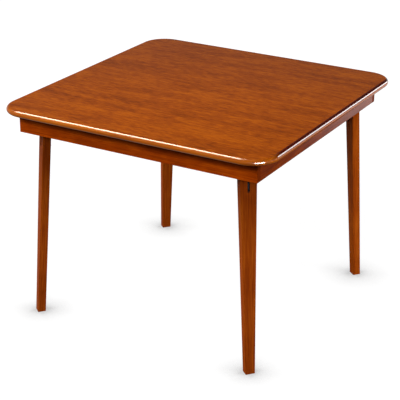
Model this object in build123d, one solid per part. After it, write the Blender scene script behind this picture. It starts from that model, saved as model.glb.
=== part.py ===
from build123d import *
import math
import os

# Folding card table: a square lacquered top on four splayed legs that fold into its apron.
#
# The table stands on its feet at the origin. X runs right along the front edge, Y towards the
# back and Z up. Lengths are millimetres and angles degrees. Every corner carries the same leg
# gear, so the front right corner is modelled once and turned by quarter turns to the others.
# At each corner a steel tongue hangs from a plate under the top and enters a saw kerf in the
# leg's head. The leg turns on a pin through the tongue, and a sprung catch in the same kerf
# holds it open against a corner block.

# Table top
table_height = 737.0
table_width = 965.0
edge_thickness = 20.0
panel_thickness = 12.0
frame_width = 75.0
corner_radius = 88.0
bullnose_flat = 0.6

# Apron
apron_height = 68.0
overhang = 53.5
rail_thickness = 19.0
rail_edge_round = 1.2

# Legs, as sections and as places of the front right one at the apron's lower edge
leg_thickness = 27.0
leg_width_at_apron = 55.0
leg_width_at_floor = 31.0
leg_edge_round = 2.0
leg_in_from_side = 116.0
leg_in_from_front = 107.0
leg_azimuth = 50.0
leg_splay = 4.0

# Hinge at the leg's head
pivot_above_apron = 38.0
hinge_pin_radius = 4.0
pin_fit = 0.05
pin_end_set_back = 1.5
running_gap = 0.3

# Saw kerf in the leg's head
kerf_width = 8.0
kerf_below_apron = 55.0
saw_radius = 125.0
saw_rise = 10.0

# Corner bracket
bracket_plate_thickness = 3.0
bracket_plate_length = 58.0
bracket_plate_width = 44.0
bracket_plate_round = 5.0
bracket_plate_in = 19.0
tongue_thickness = 5.0
tongue_width = 22.0
tongue_reach = 32.0
tongue_root_width = 34.0
tongue_root_depth = 12.0
tooth_height = 2.5
tooth_turn = 17.5

# Catch in the kerf
catch_thickness = 4.4
catch_pin_radius = 2.0
catch_hub_radius = 5.5
catch_out = 7.5
catch_down = 40.0
nose_reach = 16.0
nose_width = 3.0
nose_clearance = 0.4
nose_depth = 4.5
arm_clearance = 0.5
tail_belly_out = 3.6
tail_belly_down = 66.0
tail_tip_out = -16.6
tail_tip_down = 94.0
tail_width = 6.0
tail_tip_radius = 3.4

# Leaf spring behind the catch
spring_thickness = 0.8
spring_width = 5.0
spring_pin_radius = 1.5
spring_pin_out = 9.6
spring_pin_down = 86.0
spring_touch_share = 0.3

# Corner block
block_base_gap = 6.0

# Screws
screw_shank_radius = 1.9
screw_head_radius = 3.8
screw_head_height = 2.2
screw_length = 10.0
screw_fit = 0.05
screw_side_share = 0.32
screw_end_share = 0.38
screw_recess_depth = 1.2
screw_recess_width = 1.1
screw_recess_length = 4.4
block_screw_length = 78.0
block_screw_share = 0.55

# One overrun for every cut
overrun = 5.0

# Heights and half sizes that follow from the sizes above
half_width = table_width / 2
edge_underside = table_height - edge_thickness
panel_underside = table_height - panel_thickness
apron_underside = edge_underside - apron_height
apron_half = half_width - overhang
rail_inside = apron_half - rail_thickness
panel_half = half_width - frame_width
pivot_height = apron_underside + pivot_above_apron
plate_underside = panel_underside - bracket_plate_thickness
block_underside = apron_underside + block_base_gap
half_leg = leg_thickness / 2

# Directions at the front right corner: out of the leg's wide face, and along the hinge pin
azimuth = math.radians(leg_azimuth)
outward = Vector(math.sin(azimuth), -math.cos(azimuth), 0)
along_pin = Vector(math.cos(azimuth), math.sin(azimuth), 0)
splay = math.radians(leg_splay)
leg_up = Vector(0, 0, 1) * math.cos(splay) - outward * math.sin(splay)
leg_outward = outward * math.cos(splay) + Vector(0, 0, 1) * math.sin(splay)

leg_at_apron = Vector(half_width - leg_in_from_side, leg_in_from_front - half_width, apron_underside)
pivot = leg_at_apron - outward * (pivot_above_apron * math.tan(splay)) + Vector(0, 0, pivot_above_apron)
leg_length = pivot_height / math.cos(splay)
apron_along_leg = pivot_above_apron / math.cos(splay)

# Sketches of the leg gear are drawn in this plane, out of the leg to the right and up the leg,
# and are then laid at the pivot, upright for the bracket and splayed for what the leg carries
gear_plane = Plane.XZ
upright = Plane(origin=pivot, x_dir=outward, z_dir=(0, 0, 1)).location
splayed = Plane(origin=pivot, x_dir=leg_outward, z_dir=leg_up).location

corners = ("front_right", "back_right", "back_left", "front_left")
quarter_turn = 90.0


def slab(sketch, thickness):
    """A plate of the given thickness, centred on the gear plane."""
    return extrude(gear_plane * sketch, amount=thickness / 2, both=True)


def cross_bar(radius, length, out=0.0, down=0.0):
    """A round bar along the hinge pin, with its middle at a place in the gear plane."""
    return slab(Pos(out, -down) * Circle(radius), length)


def screw(length):
    """A countersunk cross-recess screw, with its head's face up at the origin."""
    half_profile = Polyline(
        (0, 0),
        (screw_head_radius, 0),
        (screw_shank_radius, -screw_head_height),
        (screw_shank_radius, screw_shank_radius - length),
        (0, -length),
        close=True,
    )
    body = revolve(Plane.XZ * make_face(half_profile), Axis.Z)
    recess = Box(screw_recess_length, screw_recess_width, 2 * screw_recess_depth)
    return body - recess - Rot(Z=quarter_turn) * recess


def screw_seat(length):
    """The countersunk hole that a screw sits in."""
    half_profile = Polyline(
        (0, overrun),
        (screw_head_radius + screw_fit, overrun),
        (screw_head_radius + screw_fit, 0),
        (screw_shank_radius + screw_fit, -screw_head_height),
        (screw_shank_radius + screw_fit, -length - screw_fit),
        (0, -length - screw_fit),
        close=True,
    )
    return revolve(Plane.XZ * make_face(half_profile), Axis.Z)


def driven_up(screw_or_seat, places, height):
    """Copies of a screw, or of its seat, with the heads facing down at a height above the floor."""
    one = Rot(X=2 * quarter_turn) * screw_or_seat
    return [upright * (Pos(out, along, height - pivot_height) * one) for out, along in places]


def make_top_blank():
    """The whole top as one slab with round corners and a bullnose edge."""
    outline = RectangleRounded(table_width, table_width, corner_radius)
    blank = Pos(Z=edge_underside) * extrude(outline, amount=edge_thickness)
    rims = blank.faces().sort_by(Axis.Z)[0].edges() + blank.faces().sort_by(Axis.Z)[-1].edges()
    return fillet(rims, (edge_thickness - bullnose_flat) / 2)


def make_top_frame():
    """Four edge pieces, mitred at the corners, cut from the top's blank."""
    blank = make_top_blank()
    window = Pos(Z=edge_underside - overrun) * extrude(
        Rectangle(2 * panel_half, 2 * panel_half), amount=edge_thickness + 2 * overrun
    )
    ring = blank - window
    reach = half_width + overrun
    wedge = Polyline((0, 0), (reach, -reach), (-reach, -reach), close=True)
    front_wedge = Pos(Z=edge_underside - overrun) * extrude(
        make_face(wedge), amount=edge_thickness + 2 * overrun
    )
    sides = ("front", "right", "back", "left")
    return {side: ring & (Rot(Z=quarter_turn * turn) * front_wedge) for turn, side in enumerate(sides)}


def make_top_panel():
    """The thinner veneered panel that the frame surrounds, flush with its upper face."""
    panel = Pos(Z=panel_underside) * extrude(Rectangle(2 * panel_half, 2 * panel_half), amount=panel_thickness)
    for turn in range(len(corners)):
        for seat in plate_screw_seats() + block_screw_seats():
            panel -= Rot(Z=quarter_turn * turn) * seat
    return panel


def rail(length):
    """An apron rail along X, standing on its lower edge, with its lower edges eased."""
    blank = extrude(Rectangle(length, rail_thickness), amount=apron_height)
    lower = blank.faces().sort_by(Axis.Z)[0].edges().filter_by(Axis.X)
    return fillet(lower, rail_edge_round)


def make_rails():
    """Front and back rails run the full width, and the side rails butt between them."""
    middle = apron_half - rail_thickness / 2
    full = Pos(Z=apron_underside) * rail(2 * apron_half)
    short = Pos(Z=apron_underside) * rail(2 * rail_inside)
    ends = full.edges().filter_by(Axis.Z)
    full = fillet(ends, rail_edge_round)
    return {
        "front": Pos(Y=-middle) * full,
        "back": Pos(Y=middle) * full,
        "right": Pos(X=middle) * (Rot(Z=quarter_turn) * short),
        "left": Pos(X=-middle) * (Rot(Z=quarter_turn) * short),
    }


def make_leg():
    """The tapered leg, with a round head, its kerf and its pin holes."""
    taper = (leg_width_at_apron - leg_width_at_floor) / (leg_length - apron_along_leg)
    head_half = (leg_width_at_apron + taper * (apron_along_leg + half_leg)) / 2
    foot_half = (leg_width_at_floor - taper * overrun) / 2
    foot = leg_length + overrun
    front = Polyline(
        (-head_half, half_leg), (head_half, half_leg), (foot_half, -foot), (-foot_half, -foot), close=True
    )
    side = Pos(0, -foot / 2) * Rectangle(leg_thickness, foot) + Circle(half_leg)
    blank = extrude(Plane.YZ * make_face(front), amount=half_leg, both=True)
    blank = fillet(long_edges(blank), leg_edge_round)
    leg = blank & slab(side, 2 * head_half + overrun)
    leg -= make_kerf()
    leg -= cross_bar(hinge_pin_radius + pin_fit, leg_width_at_apron + 2 * overrun)
    leg -= cross_bar(catch_pin_radius + pin_fit, leg_width_at_apron + 2 * overrun, catch_out, catch_down)
    leg -= cross_bar(
        spring_pin_radius + pin_fit, leg_width_at_apron + 2 * overrun, spring_pin_out, spring_pin_down
    )
    leg = splayed * leg
    below = Box(half_width, half_width, half_width, align=(Align.CENTER, Align.CENTER, Align.MAX))
    return leg - Pos(leg_at_apron.X, leg_at_apron.Y) * below


def long_edges(blank):
    """The four edges that run down a leg's blank."""
    return blank.edges().sort_by(SortBy.LENGTH)[-4:]


def make_kerf():
    """The kerf, left by a saw blade that came in from the leg's inner face."""
    end_down = apron_along_leg + kerf_below_apron
    blade_out = half_leg + saw_rise - saw_radius
    rise_at_outer_face = math.sqrt(saw_radius ** 2 - (half_leg - blade_out) ** 2)
    blade_down = end_down - rise_at_outer_face
    slot_top = half_leg + overrun
    slot = Pos(0, (slot_top - blade_down) / 2) * Rectangle(leg_thickness + 2 * overrun, slot_top + blade_down)
    return slab(slot, kerf_width) + slab(Pos(blade_out, -blade_down) * Circle(saw_radius), kerf_width)


def make_hinge_pin():
    """The pin that the leg turns on, a little shorter than the leg is wide."""
    return splayed * cross_bar(hinge_pin_radius, leg_width_at_apron - 2 * pin_end_set_back)


def make_catch_pin():
    """The smaller pin that the catch rocks on."""
    bar = cross_bar(catch_pin_radius, leg_width_at_apron - 2 * pin_end_set_back, catch_out, catch_down)
    return splayed * bar


def make_spring_pin():
    """The pin that holds the foot of the leaf spring."""
    length = leg_width_at_apron - 2 * pin_end_set_back
    return splayed * cross_bar(spring_pin_radius, length, spring_pin_out, spring_pin_down)


def make_bracket():
    """The screwed plate and the tongue that hangs from it, upright at the corner."""
    plate_base = plate_underside - pivot_height
    plate = Pos(X=-bracket_plate_in, Z=plate_base) * extrude(
        RectangleRounded(bracket_plate_length, bracket_plate_width, bracket_plate_round),
        amount=bracket_plate_thickness,
    )
    bar = Rectangle(tongue_width, plate_base, align=(Align.CENTER, Align.MIN))
    root = make_face(Polyline(
        (-tongue_root_width / 2, plate_base),
        (tongue_width / 2, plate_base),
        (tongue_width / 2, plate_base - tongue_root_depth),
        (-tongue_width / 2, plate_base - tongue_root_depth),
        close=True,
    ))
    lower = Rectangle(tongue_width, tongue_reach + tooth_height, align=(Align.CENTER, Align.MAX))
    blade = bar + root + (lower & Circle(tongue_reach)) + tooth()
    blade -= Circle(hinge_pin_radius + pin_fit)
    bracket = upright * (plate + slab(blade, tongue_thickness))
    for seat in plate_screw_seats():
        bracket -= seat
    return bracket


def tooth():
    """The small tooth on the tongue's round end. Its locking side is an arc about the catch's pin."""
    turn = math.radians(tooth_turn)
    rim = tongue_reach + tooth_height
    gap = Pos(catch_out, -catch_down) * Circle(nose_reach + running_gap)
    sector = make_face(Polyline(
        (0, 0),
        (0, -2 * rim),
        (-2 * rim * math.sin(turn), -2 * rim * math.cos(turn)),
        close=True,
    ))
    in_leg_frame = (Circle(rim) & sector) - gap
    return Rot(Z=leg_splay) * in_leg_frame


def plate_screw_places():
    """Four places on the plate, either side of the tongue, from the pivot."""
    along = screw_end_share * bracket_plate_length
    across = screw_side_share * bracket_plate_width
    return [(a * along - bracket_plate_in, b * across) for a in (-1, 1) for b in (-1, 1)]


def plate_screw_seats():
    """Their holes, through the plate and into the panel."""
    return driven_up(screw_seat(screw_length), plate_screw_places(), plate_underside)


def make_bracket_screws():
    """Four screws that hold the plate up under the panel."""
    return driven_up(screw(screw_length), plate_screw_places(), plate_underside)


def make_catch():
    """The catch: a nose under the tongue, a hub on its pin and a curved tail for the thumb."""
    hub_place = Pos(catch_out, -catch_down)
    keep_off_rim = tongue_reach + tooth_height + arm_clearance
    reach = Circle(nose_reach)
    arm_base = -nose_depth
    arm = make_face(Polyline(
        (0, catch_hub_radius),
        (-2 * nose_reach, 2 * catch_hub_radius),
        (-nose_reach, arm_base),
        (0, -catch_hub_radius),
        close=True,
    ))
    arm = hub_place * (arm & reach) - Circle(keep_off_rim)
    finger = reach - Circle(nose_reach - nose_width)
    finger = (hub_place * finger) & Pos(0, -catch_down) * Rectangle(
        2 * nose_reach, 2 * (catch_down - tongue_reach), align=(Align.MAX, Align.CENTER)
    )
    finger -= Circle(tongue_reach + nose_clearance)
    finger &= Pos(0, -catch_down + nose_depth) * Rectangle(
        2 * nose_reach, 2 * nose_reach, align=(Align.CENTER, Align.MIN)
    )
    body = arm + finger + hub_place * Circle(catch_hub_radius) + tail()
    body -= hub_place * Circle(catch_pin_radius + pin_fit)
    return splayed * slab(body, catch_thickness)


def tail_edge(side):
    """The tail's outer edge for a side of 1 and its inner edge for a side of -1, from the hub."""
    hub = Vector(catch_out, -catch_down)
    belly = Vector(tail_belly_out, -tail_belly_down)
    tip = Vector(tail_tip_out, -tail_tip_down)
    half = Vector(side * tail_width / 2, 0)
    tip_half = (tip - belly).normalized().rotate(Axis.Z, quarter_turn) * (side * tail_width / 2)
    return ThreePointArc(hub + half, belly + half, tip + tip_half)


def tail():
    """The catch's curved tail, from its hub past the belly to a round tip inside the leg."""
    tip = Vector(tail_tip_out, -tail_tip_down)
    outer = tail_edge(1)
    inner = tail_edge(-1)
    face = make_face([outer, Line(outer @ 1, inner @ 1), inner, Line(inner @ 0, outer @ 0)])
    return face + Pos(tip.X, tip.Y) * Circle(tail_tip_radius)


def make_spring():
    """A leaf spring that curls round its pin and bears on the outer edge of the catch's tail."""
    ring_radius = spring_pin_radius + pin_fit + spring_thickness
    foot = Pos(spring_pin_out, -spring_pin_down)
    curl = foot * (Circle(ring_radius) - Circle(spring_pin_radius + pin_fit))
    start = Vector(spring_pin_out + ring_radius - spring_thickness / 2, -spring_pin_down)
    end = tail_edge(1) @ spring_touch_share + Vector(running_gap + spring_thickness / 2, 0)
    strip = trace(Line(start, end), spring_thickness)
    return splayed * slab(curl + (strip - foot * Circle(spring_pin_radius + pin_fit)), spring_width)


def make_block():
    """The corner block behind the leg. Its face leans like the leg and stops it when it is open."""
    around = Pos(rail_inside, -rail_inside) * Rectangle(rail_inside, rail_inside)
    within_rails = around & Rectangle(2 * rail_inside, 2 * rail_inside)
    within_frame = around & Rectangle(2 * panel_half, 2 * panel_half)
    block = Pos(Z=block_underside) * extrude(within_rails, amount=edge_underside - block_underside)
    block += Pos(Z=block_underside) * extrude(within_frame, amount=panel_underside - block_underside)
    behind = Box(rail_inside, table_width, table_width, align=(Align.MAX, Align.CENTER, Align.CENTER))
    block -= splayed * (Pos(X=half_leg + running_gap) * behind)
    for seat in block_screw_seats():
        block -= seat
    return block


def block_screw_places():
    """Two places under the block, one towards each rail."""
    face_out = half_leg + running_gap
    corner = Vector(rail_inside, -rail_inside, 0) - Vector(pivot.X, pivot.Y, 0)
    depth = corner.dot(outward) - face_out
    out = face_out + block_screw_share * depth
    side = depth * (1 - block_screw_share) / 2
    middle = corner.dot(along_pin)
    return [(out, middle - side), (out, middle + side)]


def block_screw_seats():
    """Their holes, through the block and into the panel."""
    return driven_up(screw_seat(block_screw_length), block_screw_places(), block_underside)


def make_block_screws():
    """Two screws that go up through the block into the top."""
    return driven_up(screw(block_screw_length), block_screw_places(), block_underside)


def write(name, shapes):
    """Writes one node's solid, or its group of solids, under its name."""
    solids = shapes if isinstance(shapes, list) else [shapes]
    whole = Compound(children=solids) if len(solids) > 1 else solids[0]
    whole.label = name
    export_step(whole, os.path.join("parts", name + ".step"))


os.makedirs("parts", exist_ok=True)

write("top_panel", make_top_panel())
for side, piece in make_top_frame().items():
    write("top_frame_" + side, piece)
for side, piece in make_rails().items():
    write("apron_rail_" + side, piece)

corner_pieces = {
    "corner_block": [make_block()],
    "block_screws": make_block_screws(),
    "corner_bracket": [make_bracket()],
    "bracket_screws": make_bracket_screws(),
    "leg": [make_leg()],
    "hinge_pin": [make_hinge_pin()],
    "catch": [make_catch()],
    "catch_pin": [make_catch_pin()],
    "catch_spring": [make_spring()],
    "spring_pin": [make_spring_pin()],
}
for turn, corner in enumerate(corners):
    for piece_name, solids in corner_pieces.items():
        turned = [Rot(Z=quarter_turn * turn) * solid for solid in solids]
        write(piece_name + "_" + corner, turned)
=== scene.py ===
import bmesh
import bpy
import math
from mathutils import Matrix, Vector


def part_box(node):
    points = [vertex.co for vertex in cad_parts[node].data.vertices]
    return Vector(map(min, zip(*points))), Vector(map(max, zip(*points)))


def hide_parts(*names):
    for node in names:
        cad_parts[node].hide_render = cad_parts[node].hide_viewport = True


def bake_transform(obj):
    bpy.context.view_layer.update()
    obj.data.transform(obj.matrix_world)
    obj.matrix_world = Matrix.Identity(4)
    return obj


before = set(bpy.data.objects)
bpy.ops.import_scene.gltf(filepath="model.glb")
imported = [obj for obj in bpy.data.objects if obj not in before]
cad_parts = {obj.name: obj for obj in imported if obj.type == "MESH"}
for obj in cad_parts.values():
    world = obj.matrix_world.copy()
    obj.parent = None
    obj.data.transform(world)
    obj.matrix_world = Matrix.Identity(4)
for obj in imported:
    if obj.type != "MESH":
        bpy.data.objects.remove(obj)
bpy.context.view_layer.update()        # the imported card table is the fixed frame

cornerNames = ["front_right", "back_right", "back_left", "front_left"]
alongX, alongY, alongZ = (1, 0, 0), (0, 1, 0), (0, 0, 1)
print("loaded", len(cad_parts), "pieces of the card table")

# Small tools for every finish

mmPerMetre = 1000
smooth = {"interpolation_type": "SMOOTHSTEP"}       # value, from low, from high, to low, to high are 0 to 4
colours = {"data_type": "RGBA"}                     # share, first colour and second colour are 0, 6 and 7

def colour(hexValue):                               # sRGB hex to the linear colour that a shader wants
    parts = [int(hexValue[i:i + 2], 16) / 255 for i in (1, 3, 5)]
    linear = [part / 12.92 if part <= 0.04045 else ((part + 0.055) / 1.055) ** 2.4 for part in parts]
    return (*linear, 1.0)

def add(tree, kind, inputs=None, stops=None, **settings):    # one node, with its settings and its links
    made = tree.nodes.new("ShaderNode" + kind)
    for name, value in settings.items():
        setattr(made, name, value)
    if stops:                                       # the colour ramp's stops, as place and hex
        ramp = made.color_ramp
        while len(ramp.elements) < len(stops):
            ramp.elements.new(0.5)
        for element, (place, shade) in zip(ramp.elements, stops):
            element.position = place
            element.color = colour(shade)
    for name, value in (inputs or {}).items():
        if isinstance(value, bpy.types.Node):       # a node stands for the first output that it uses
            value = next(socket for socket in value.outputs if socket.enabled)
        if isinstance(value, bpy.types.NodeSocket):
            tree.links.new(value, made.inputs[name])
        else:
            made.inputs[name].default_value = value
    return made

def newMaterial(name):
    material = bpy.data.materials.new(name)
    material.use_nodes = True
    material.node_tree.nodes.clear()
    return material, material.node_tree

def grainFrame(tree, place, along, shift):          # object coordinates turned so that x runs with the grain
    turn = Vector(along).normalized().rotation_difference(Vector(alongX)).to_euler()
    return add(tree, "Mapping", {"Vector": place.outputs["Object"], "Rotation": turn, "Location": shift})

def streaks(tree, vector, length, width, detail, rough, wander=0.0):     # noise drawn out along x, in mm
    scale = (mmPerMetre / length, mmPerMetre / width, mmPerMetre / width)
    drawn = add(tree, "VectorMath", {0: vector, 1: scale}, operation="MULTIPLY")
    return add(tree, "TexNoise", {"Vector": drawn, "Scale": 1.0, "Detail": detail, "Roughness": rough,
                                  "Distortion": wander})

def dress(node, material):                          # gives a carried-over piece its finish
    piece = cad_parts[node]
    if not piece.material_slots:
        piece.data.materials.append(material)
    for slot in piece.material_slots:
        slot.material = material

# Woods: tones from dark to light, then band, fine grain and blotch as length and width in mm and weight,
# and pores as length and width in mm, drawn coarser than the real 1 mm so that they show

cherryVeneer = {             # cherry veneer, stained and sprayed: amber, with fine streaks in long bands
    "tones": ("#893d09", "#a74c0b", "#bd5e0d"),
    "band": (520, 34, 0.8), "fine": (28, 3.6, 2.0), "blotch": (170, 60, 0.7),
    "pore": (38, 5), "poreColour": "#6a2e08", "poreShare": 0.4,
    "gloss": 0.16, "specular": 0.1,
}
edgeBeech = {                # solid lipping, machined to a bullnose and stained: more orange, with long grain
    "tones": ("#994a0a", "#b4590a", "#c86b0f"),
    "band": (500, 16, 0.8), "fine": (120, 3, 1.2), "blotch": (260, 120, 0.6),
    "pore": (30, 2.4), "poreColour": "#6a2c06", "poreShare": 0.3,
    "gloss": 0.15,
}
rightLippingPaintedShade = dict(edgeBeech, tones=("#390600", "#4a0b00", "#5c1400"), gloss=0.07,      # painted shade: toned nearly black, for the shade and dark reflection on the right edge
                  shadeLineFrom=(0.4705, 0.4665),        # m across the table, where the veneer gives way to it, as a painted dark line
                  shadePastCorner=(-0.45, -0.37),        # m along the table, where the painted shade starts
                  shadeUpperHalf=(0.2, 0.6))             # and how far up a face turns for the painted shade to show, so the upper bullnose is darker
legBeech = {                 # solid beech, stained red-brown and sprayed: even, with fine grain down the leg
    "tones": ("#8d370b", "#a7480d", "#bc5a14"),
    "band": (420, 14, 0.8), "fine": (110, 3, 1.3), "blotch": (180, 110, 0.7),
    "pore": (26, 2.2), "poreColour": "#5c2004", "poreShare": 0.35,
    "gloss": 0.36, "specular": 0.02,
    "tint": "#ff9a52",       # the toned lacquer colours what it reflects head on
    "paintedShadeFrom": (0.3, 0.652), "paintedShadeShare": 0.4,   # m above the floor, from where painted shade darkens the leg up to under the apron
}
backRightLegPaintedLight = dict(legBeech, tones=("#933a0b", "#af4c0d", "#c55f15"), paintedShadeShare=0.05)      # painted light: a paler copy of the leg finish that lifts the back right leg's shaded faces, with little painted shade
# the rails' painted shade darkens their top, where the top's overhang shades them
railBeech = dict(legBeech, tones=("#943604", "#b04405", "#c65408"), band=(380, 18, 0.9),
                 blotch=(90, 60, 1.0), paintedShadeFrom=(0.674, 0.7), paintedShadeShare=0.78)
rightRail = dict(railBeech, tones=("#722804", "#893405", "#9b4108"), paintedShadeFrom=(0.68, 0.71), paintedShadeShare=0.3,
                 specular=0.5, gloss=0.2, tint="#ffffff")              # a darker length with a harder shine
blockPoplar = {              # glue block, sawn from pale poplar and only sealed: dull, with brown flecks
    "tones": ("#8d6a3e", "#a98452", "#bd9a68"),
    "band": (200, 12, 1.0), "fine": (80, 2, 1.2), "blotch": (100, 70, 0.6),
    "pore": (20, 1.6), "poreColour": "#6d5230", "poreShare": 0.3,
    "gloss": 0.62, "specular": 0.3, "tint": "#ffffff",
}
backingBirch = {             # birch plywood underneath the top, stained and left matt
    "tones": ("#6d4222", "#80502b", "#935f36"),
    "band": (500, 60, 1.0), "fine": (150, 4, 1.2), "blotch": (220, 140, 0.6),
    "pore": (40, 2.4), "poreColour": "#50301a", "poreShare": 0.35,
    "gloss": 0.6,
}
grain = {                    # what all woods share
    "layers": {"band": (2.0, 0.6), "fine": (4.0, 0.3), "blotch": (2.0, 0.0)},        # detail and wander
    "rough": 0.6, "poreNoise": (2.0, 0.5),          # roughness, and the pores' detail and roughness
    "middleTone": 0.5, "toneStops": (0.2, 0.5, 0.8), "poreFrom": (0.56, 0.74),
    # the colour of the painted shade under the top and the apron
    "paintedShadeColour": "#1c0601",
    "endFrom": (0.7, 0.95), "endShare": 0.75,       # end grain drinks more stain
    "heights": (-0.3, 0.3), "duller": 0.05, "shinier": -0.04,          # the dips in the grain are duller
    "bump": 0.12, "bumpDepth": 0.0004,              # m
}
top = {                      # where one finish gives way to another, by how far up a face turns: 1 is level
    "veneerFrom": (0.86, 0.98), "backingFrom": (-0.9, -0.98),
    "coatFrom": (0.995, 0.97), "coatUntil": (-0.98, -0.9),   # the lacquer flows thicker round the bullnose
    "edgeGloss": 0.3,        # roughness under that coat
    "bump": 0.06, "bumpDepth": 0.0001,              # m
}

def woodColour(tree, vector, wood):                 # colour and height of one wood's grain
    total = grain["middleTone"]
    noise = {}
    for layer, (detail, wander) in grain["layers"].items():
        length, width, weight = wood[layer]
        noise[layer] = streaks(tree, vector, length, width, detail, grain["rough"], wander)
        share = add(tree, "Math", {0: noise[layer], 1: weight, 2: -weight / 2}, operation="MULTIPLY_ADD")
        total = add(tree, "Math", {0: share, 1: total}, operation="ADD")
    tone = add(tree, "ValToRGB", {"Fac": total}, stops=list(zip(grain["toneStops"], wood["tones"])))
    pores = streaks(tree, vector, *wood["pore"], *grain["poreNoise"])
    low, high = grain["poreFrom"]
    dark = add(tree, "MapRange", {0: pores, 1: low, 2: high, 4: wood["poreShare"]}, **smooth)
    shade = add(tree, "Mix", {0: dark, 6: tone, 7: colour(wood["poreColour"])}, **colours)
    height = add(tree, "Math", {0: noise["fine"], 1: pores}, operation="SUBTRACT")
    return shade, height

def woodMaterial(name, wood, along, shift):         # solid wood with its grain along one direction
    material, tree = newMaterial(name)
    place = add(tree, "TexCoord")
    shade, height = woodColour(tree, grainFrame(tree, place, along, shift), wood)
    # painted shade under the apron and the top's edge: darker towards the top
    if "paintedShadeFrom" in wood:
        low, high = wood["paintedShadeFrom"]
        above = add(tree, "SeparateXYZ", {0: place.outputs["Object"]}).outputs["Z"]
        paintedShade = add(tree, "MapRange", {0: above, 1: low, 2: high, 4: wood["paintedShadeShare"]}, **smooth)
        shade = add(tree, "Mix", {0: paintedShade, 6: shade, 7: colour(grain["paintedShadeColour"])}, **colours)
    facing = add(tree, "VectorMath", {0: place.outputs["Normal"], 1: Vector(along).normalized()},
                 operation="DOT_PRODUCT")
    squarely = add(tree, "Math", {0: facing}, operation="ABSOLUTE")
    low, high = grain["endFrom"]
    endGrain = add(tree, "MapRange", {0: squarely, 1: low, 2: high, 4: grain["endShare"]}, **smooth)
    shade = add(tree, "Mix", {0: endGrain, 6: shade, 7: colour(wood["poreColour"])}, **colours)
    low, high = grain["heights"]
    rough = add(tree, "MapRange", {0: height, 1: low, 2: high, 3: wood["gloss"] + grain["duller"],
                                   4: wood["gloss"] + grain["shinier"]}, **smooth)
    bump = add(tree, "Bump", {"Height": height, "Strength": grain["bump"], "Distance": grain["bumpDepth"]})
    shader = add(tree, "BsdfPrincipled", {"Base Color": shade, "Roughness": rough, "Normal": bump,
                                          "Specular IOR Level": wood["specular"],
                                          "Specular Tint": colour(wood["tint"])})
    add(tree, "OutputMaterial", {"Surface": shader})
    return material

def topMaterial(name, edgeAlong, shift, lipping):   # veneer above, lipping round the edge, backing below
    material, tree = newMaterial(name)
    place = add(tree, "TexCoord")
    spot = add(tree, "SeparateXYZ", {0: place.outputs["Object"]}).outputs
    up = add(tree, "SeparateXYZ", {0: place.outputs["Normal"]}).outputs["Z"]
    veneerPlace = grainFrame(tree, place, alongX, (0, 0, 0))
    edgePlace = grainFrame(tree, place, edgeAlong, shift)
    veneer, veneerHeight = woodColour(tree, veneerPlace, cherryVeneer)
    edge = woodColour(tree, edgePlace, lipping)[0]
    backing = woodColour(tree, veneerPlace, backingBirch)[0]
    isTop = add(tree, "MapRange", {0: up, 1: top["veneerFrom"][0], 2: top["veneerFrom"][1]}, **smooth)
    if "shadeLineFrom" in lipping:                       # painted shade: the right edge's upper bullnose and a line of the top beside it turn dark, past the near corner
        plain = woodColour(tree, edgePlace, edgeBeech)[0]
        low, high = lipping["shadePastCorner"]
        past = add(tree, "MapRange", {0: spot["Y"], 1: low, 2: high}, **smooth)
        low, high = lipping["shadeUpperHalf"]
        upper = add(tree, "MapRange", {0: up, 1: low, 2: high}, **smooth)
        share = add(tree, "Math", {0: past, 1: upper}, operation="MULTIPLY")
        edge = add(tree, "Mix", {0: share, 6: plain, 7: edge}, **colours)
        low, high = lipping["shadeLineFrom"]
        inside = add(tree, "MapRange", {0: spot["X"], 1: low, 2: high}, **smooth)
        isTop = add(tree, "Math", {0: isTop, 1: inside}, operation="MULTIPLY")
    isUnder = add(tree, "MapRange", {0: up, 1: top["backingFrom"][0], 2: top["backingFrom"][1]}, **smooth)
    shade = add(tree, "Mix", {0: isTop, 6: edge, 7: veneer}, **colours)
    shade = add(tree, "Mix", {0: isUnder, 6: shade, 7: backing}, **colours)
    onEdge = add(tree, "MapRange", {0: up, 1: top["coatFrom"][0], 2: top["coatFrom"][1]}, **smooth)
    notUnder = add(tree, "MapRange", {0: up, 1: top["coatUntil"][0], 2: top["coatUntil"][1]}, **smooth)
    lacquer = add(tree, "Math", {0: onEdge, 1: notUnder}, operation="MULTIPLY")
    rough = add(tree, "MapRange", {0: isTop, 3: top["edgeGloss"], 4: cherryVeneer["gloss"]}, **smooth)
    rough = add(tree, "MapRange", {0: isUnder, 3: rough, 4: backingBirch["gloss"]}, **smooth)
    bump = add(tree, "Bump", {"Height": veneerHeight, "Strength": top["bump"], "Distance": top["bumpDepth"]})
    shader = add(tree, "BsdfPrincipled", {"Base Color": shade, "Roughness": rough, "Normal": bump,
                                          "Specular IOR Level": cherryVeneer["specular"],
                                          "Coat Weight": lacquer, "Coat Roughness": lipping["gloss"]})
    add(tree, "OutputMaterial", {"Surface": shader})
    return material

# The grain of each length starts at another place, in m, so that no two are alike
lippings = {"front": (alongX, (0.1, 0, 0), edgeBeech), "right": (alongY, (0.7, 0, 0), rightLippingPaintedShade),
            "back": (alongX, (1.9, 0.3, 0), edgeBeech), "left": (alongY, (2.7, 0, 0), edgeBeech)}
rails = {"front": (alongX, (0.4, 0, 0), railBeech), "right": (alongY, (1.4, 0, 0), rightRail),
         "back": (alongX, (2.4, 0, 0), railBeech), "left": (alongY, (3.4, 0, 0), railBeech)}

print("dressing the top")
dress("top_panel", topMaterial("cherryVeneerPanel", alongX, (0, 0, 0), edgeBeech))
for side, (along, shift, wood) in lippings.items():
    dress("top_frame_" + side, topMaterial("cherryLipping_" + side, along, shift, wood))

print("dressing the apron and the legs")
for side, (along, shift, wood) in rails.items():
    dress("apron_rail_" + side, woodMaterial("sprayedBeechRail_" + side, wood, along, shift))

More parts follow.
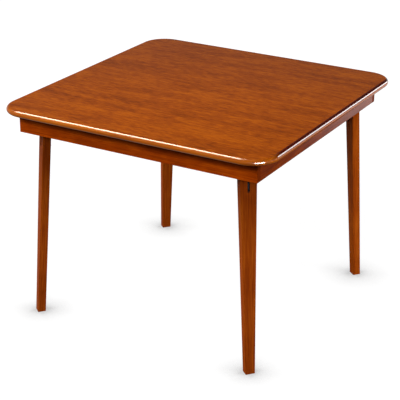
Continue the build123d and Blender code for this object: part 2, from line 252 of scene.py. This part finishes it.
legSet = {
    "azimuth": 50, "splay": 4, "turn": 90,          # degrees, from the CAD
    "shift": 0.3, "stepAlong": 1.0, "stepAcross": 0.2,       # m, where the grain starts in each leg
}
azimuth, splay = math.radians(legSet["azimuth"]), math.radians(legSet["splay"])
firstLegDown = Vector((math.sin(azimuth) * math.sin(splay), -math.cos(azimuth) * math.sin(splay),
                       -math.cos(splay)))
for turn, corner in enumerate(cornerNames):
    down = Matrix.Rotation(math.radians(legSet["turn"] * turn), 3, "Z") @ firstLegDown
    shift = (legSet["shift"] + legSet["stepAlong"] * turn, legSet["stepAcross"] * turn, 0)
    wood = backRightLegPaintedLight if corner == "back_right" else legBeech
    dress("leg_" + corner, woodMaterial("sprayedBeechLeg_" + corner, wood, down, shift))
    block = woodMaterial("sawnPoplarBlock_" + corner, blockPoplar, alongZ, (turn, 0, 0))
    dress("corner_block_" + corner, block)

# Steel

steels = {                   # the grit is the size in mm of the clouds in the finish
    # pressed sheet, blackened: dark, cloudy and cool
    "blackSheet": {"tint": "#34353a", "stain": "#1d1e22", "gloss": 0.38, "grit": 6},
    # screws, zinc plated: bright, a touch yellow
    "zincScrew": {"tint": "#c4c4bf", "stain": "#8f8f8a", "gloss": 0.28, "grit": 2},
    # spring strip, blued: nearly black
    "springSteel": {"tint": "#2b2d33", "stain": "#191a1e", "gloss": 0.42, "grit": 3},
    # stampings and pins, black oxide: dark and oily
    "blackOxide": {"tint": "#2a2a2c", "stain": "#161617", "gloss": 0.42, "grit": 4},
}
steelWear = {
    "cloudNoise": (3.0, 0.55), "cloudFrom": (0.35, 0.7),
    "scratch": (14, 0.6),    # mm, handling scratches, drawn coarser than real ones so that they show
    "scratchNoise": (2.0, 0.55), "scratchFrom": (0.3, 0.7), "shinier": -0.06, "duller": 0.12,
    "bump": 0.15, "bumpDepth": 0.0001,              # m
}
steelUse = {"corner_bracket_": "blackSheet", "bracket_screws_": "zincScrew", "block_screws_": "zincScrew",
            "hinge_pin_": "blackOxide", "catch_pin_": "blackOxide", "spring_pin_": "blackOxide",
            "catch_": "blackOxide", "catch_spring_": "springSteel"}

def steelMaterial(name, steel):
    material, tree = newMaterial(name)
    place = add(tree, "TexCoord").outputs["Object"]
    cloud = streaks(tree, place, steel["grit"], steel["grit"], *steelWear["cloudNoise"])
    scratch = streaks(tree, place, *steelWear["scratch"], *steelWear["scratchNoise"])
    low, high = steelWear["cloudFrom"]
    stained = add(tree, "MapRange", {0: cloud, 1: low, 2: high}, **smooth)
    shade = add(tree, "Mix", {0: stained, 6: colour(steel["tint"]), 7: colour(steel["stain"])}, **colours)
    low, high = steelWear["scratchFrom"]
    rough = add(tree, "MapRange", {0: scratch, 1: low, 2: high, 3: steel["gloss"] + steelWear["shinier"],
                                   4: steel["gloss"] + steelWear["duller"]}, **smooth)
    bump = add(tree, "Bump", {"Height": scratch, "Strength": steelWear["bump"],
                              "Distance": steelWear["bumpDepth"]})
    shader = add(tree, "BsdfPrincipled", {"Base Color": shade, "Metallic": 1.0, "Roughness": rough,
                                          "Normal": bump})
    add(tree, "OutputMaterial", {"Surface": shader})
    return material

print("dressing the steel parts")
steelFinish = {name: steelMaterial(name, steel) for name, steel in steels.items()}
for corner in cornerNames:
    for node, finish in steelUse.items():
        dress(node + corner, steelFinish[finish])

leafSpring = {
    "footHeight": 0.0055,    # m, how far up the foot stays stiff
    "bends": 10,             # the stretches that the strip above the foot bends in
    "weld": 0.00001,         # m, points closer than this are one
}

def bendLeafSpring(corner):                         # the foot stays with the leg, and the strip above it is cut into stretches that it can bend in
    node = "catch_spring_" + corner
    low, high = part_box(node)
    foot = low[2] + leafSpring["footHeight"]
    shape = bmesh.new()
    shape.from_mesh(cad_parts[node].data)
    bmesh.ops.remove_doubles(shape, verts=shape.verts, dist=leafSpring["weld"])
    for ring in range(1, leafSpring["bends"]):
        height = foot + (high[2] - foot) * ring / leafSpring["bends"]
        everything = list(shape.verts) + list(shape.edges) + list(shape.faces)
        bmesh.ops.bisect_plane(shape, geom=everything, dist=leafSpring["weld"], plane_co=(0, 0, height),
                               plane_no=alongZ)
    mesh = bpy.data.meshes.new("leafSpring_" + corner)
    shape.to_mesh(mesh)
    shape.free()
    leaf = bpy.data.objects.new("leafSpring_" + corner, mesh)
    bpy.context.scene.collection.objects.link(leaf)
    leaf.data.materials.append(steelFinish["springSteel"])
    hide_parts(node)
    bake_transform(leaf)

for corner in cornerNames:
    bendLeafSpring(corner)

# Floor, backdrop, lamps and camera

studio = {
    "floorSize": 60.0,       # m
    "bounceColour": "#6a6a6a",                      # what lights the table from below
    "seenColour": "#6e6e6e",                        # what the camera sees: the shadow falls on this,
    "seenGlow": (0.92, 1.0), "glowRadii": (0.8, 2.4),        # and this glow fades it out, m from the middle
    "contactReach": 0.13, "contactSamples": 8,      # m, the small soft shade round each foot
    "contactShare": (0.75, 1.0), "contactDark": 0.6,
    "backGlow": (0.02, 0.9), "backReach": (1.3, 2.2),        # what the gloss sees, by place in m: a floor
    "leftGlow": 0.22, "leftReach": (0.3, -0.3),     # that is bright far behind, dim at the left
    "frontReach": (-1.2, -0.5),                     # and dark in front, and a sky that darkens upwards,
    "sky": [(0.02, "#c8c8c8"), (0.2, "#929292"), (0.28, "#606060"),    # by the sine of the height
            (0.35, "#323232"), (0.42, "#000000")],
}
lamps = {                    # place, aim, width and height in m, power in W, what it does and its colour
    "key": ((-1.5, -2.1, 2.9), (0, 0, 0.74), 1.8, 1.8, 50, "light", "#ffffff"),
    "nearKey": ((0.05, -0.2, 1.4), (0.05, -0.2, 0.74), 0.7, 0.7, 1.6, "light", "#ffffff"),
    "backLeft": ((-3.3, 1.8, 1.8), (0, 0, 0.5), 1.6, 1.4, 30, "light", "#ffffff"),
    "front": ((1.4, -3.2, 2.3), (0, 0, 0.5), 1.6, 1.2, 52, "light", "#ffffff"),
    "left": ((-5.0, -2.2, 2.9), (0, 0, 0.5), 2.4, 2.4, 145, "light", "#ffffff"),
    "right": ((3.2, 0.3, 1.6), (0, 0, 0.5), 1.4, 1.4, 30, "light", "#ffffff"),
    "backRight": ((2.8, 1.0, 1.2), (0, 0, 0.4), 1.4, 1.2, 32, "light", "#ffffff"),
    # the next three only show in the gloss, and two of them stay close and small to keep off the flat top
    "frontGloss": ((-1.5, 0.1, 3.0), (-1.5, 0.1, 0), 1.8, 2.0, 235, "gloss", "#fff0d8"),
    "rightGloss": ((0.494, 0.07, 0.7455), (0.394, 0.07, 0.6755), 0.9, 0.0152, 0.36, "gloss", "#ffffff"),
    "cornerGloss": ((0.545, -0.525, 0.716), (0.44, -0.44, 0.712), 0.11, 0.04, 1.0, "gloss", "#ffffff"),
}
cameraSet = {                # m, degrees and mm
    "place": (1.9838, -3.4347, 2.0464),
    "azimuth": 30.154, "pitch": 23.2, "roll": 0.148,
    "lens": 113.91, "sensor": 36.0,
}

def raysThatSee(tree, path):                        # 1 for rays that show the backdrop, 0 for lighting rays
    seen = add(tree, "Math", {0: path.outputs["Is Camera Ray"], 1: path.outputs["Is Glossy Ray"]},
               operation="MAXIMUM")
    return add(tree, "Math", {0: seen, 1: path.outputs["Is Transmission Ray"]}, operation="MAXIMUM")

def mirroredFloor(tree, place):                     # how bright the floor is in the gloss of edges and rails
    spot = add(tree, "SeparateXYZ", {0: place}).outputs
    (near, far), (dim, bright) = studio["backReach"], studio["backGlow"]
    behind = add(tree, "MapRange", {0: spot["Y"], 1: near, 2: far, 3: dim, 4: bright}, **smooth)
    near, far = studio["leftReach"]
    atLeft = add(tree, "MapRange", {0: spot["X"], 1: near, 2: far, 4: studio["leftGlow"]}, **smooth)
    near, far = studio["frontReach"]
    notInFront = add(tree, "MapRange", {0: spot["Y"], 1: near, 2: far}, **smooth)
    atLeft = add(tree, "Math", {0: atLeft, 1: notInFront}, operation="MULTIPLY")
    return add(tree, "Math", {0: behind, 1: atLeft}, operation="ADD")

def makeFloor():
    bpy.ops.mesh.primitive_plane_add(size=studio["floorSize"])
    floor = bpy.context.object
    floor.name = "studioFloor"
    material, tree = newMaterial("whitePaperFloor")
    place = add(tree, "TexCoord").outputs["Object"]
    path = add(tree, "LightPath")
    away = add(tree, "VectorMath", {0: place}, operation="LENGTH")
    (near, far), (dim, bright) = studio["glowRadii"], studio["seenGlow"]
    strength = add(tree, "MapRange", {0: away, 1: near, 2: far, 3: dim, 4: bright}, **smooth)
    nearby = add(tree, "AmbientOcclusion", {"Distance": studio["contactReach"]},
                 samples=studio["contactSamples"]).outputs["AO"]
    low, high = studio["contactShare"]
    contact = add(tree, "MapRange", {0: nearby, 1: low, 2: high, 3: studio["contactDark"]}, **smooth)
    strength = add(tree, "Math", {0: strength, 1: contact}, operation="MULTIPLY")
    glow = add(tree, "Emission", {"Strength": strength})
    shown = add(tree, "BsdfDiffuse", {"Color": colour(studio["seenColour"])})
    both = add(tree, "AddShader", {0: glow, 1: shown})
    mirrored = add(tree, "Emission", {"Strength": mirroredFloor(tree, place)})
    bounce = add(tree, "BsdfDiffuse", {"Color": colour(studio["bounceColour"])})
    mixed = add(tree, "MixShader", {0: raysThatSee(tree, path), 1: bounce, 2: both})
    mixed = add(tree, "MixShader", {0: path.outputs["Is Glossy Ray"], 1: mixed, 2: mirrored})
    add(tree, "OutputMaterial", {"Surface": mixed})
    floor.data.materials.append(material)

def makeBackdrop():                                 # white to the camera, a sky to the gloss, and no light
    world = bpy.data.worlds.new("studioBackdrop")
    bpy.context.scene.world = world
    world.use_nodes = True
    tree = world.node_tree
    tree.nodes.clear()
    path = add(tree, "LightPath")
    height = add(tree, "SeparateXYZ", {0: add(tree, "TexCoord").outputs["Generated"]}).outputs["Z"]
    sky = add(tree, "Background", {"Color": add(tree, "ValToRGB", {"Fac": height}, stops=studio["sky"])})
    paper = add(tree, "Background", {"Color": colour("#ffffff")})
    mixed = add(tree, "MixShader", {0: raysThatSee(tree, path), 2: sky})
    mixed = add(tree, "MixShader", {0: path.outputs["Is Camera Ray"], 1: mixed, 2: paper})
    add(tree, "OutputWorld", {"Surface": mixed})

def makeLamps():
    for name, (place, aim, width, height, power, use, shade) in lamps.items():
        data = bpy.data.lights.new(name + "Softbox", "AREA")
        data.shape = "RECTANGLE"
        data.size, data.size_y, data.energy = width, height, power
        data.color = colour(shade)[:3]
        lamp = bpy.data.objects.new(name + "Softbox", data)
        bpy.context.scene.collection.objects.link(lamp)
        lamp.location = place
        lamp.rotation_euler = (Vector(aim) - Vector(place)).to_track_quat("-Z", "Y").to_euler()
        lamp.visible_diffuse, lamp.visible_glossy = use == "light", use == "gloss"
        lamp.visible_camera = False

def makeCamera():
    data = bpy.data.cameras.new("photoCamera")
    data.lens, data.sensor_width = cameraSet["lens"], cameraSet["sensor"]
    camera = bpy.data.objects.new("photoCamera", data)
    bpy.context.scene.collection.objects.link(camera)
    bpy.context.scene.camera = camera
    turn, tilt = math.radians(cameraSet["azimuth"]), math.radians(cameraSet["pitch"])
    forward = Vector((-math.sin(turn) * math.cos(tilt), math.cos(turn) * math.cos(tilt), -math.sin(tilt)))
    aim = forward.to_track_quat("-Z", "Y").to_matrix()
    camera.rotation_euler = (aim @ Matrix.Rotation(math.radians(cameraSet["roll"]), 3, "Z")).to_euler()
    camera.location = cameraSet["place"]

print("setting up the studio")
makeFloor()
makeBackdrop()
makeLamps()
makeCamera()
bpy.context.scene.view_settings.view_transform = "Standard"

print("card table ready")
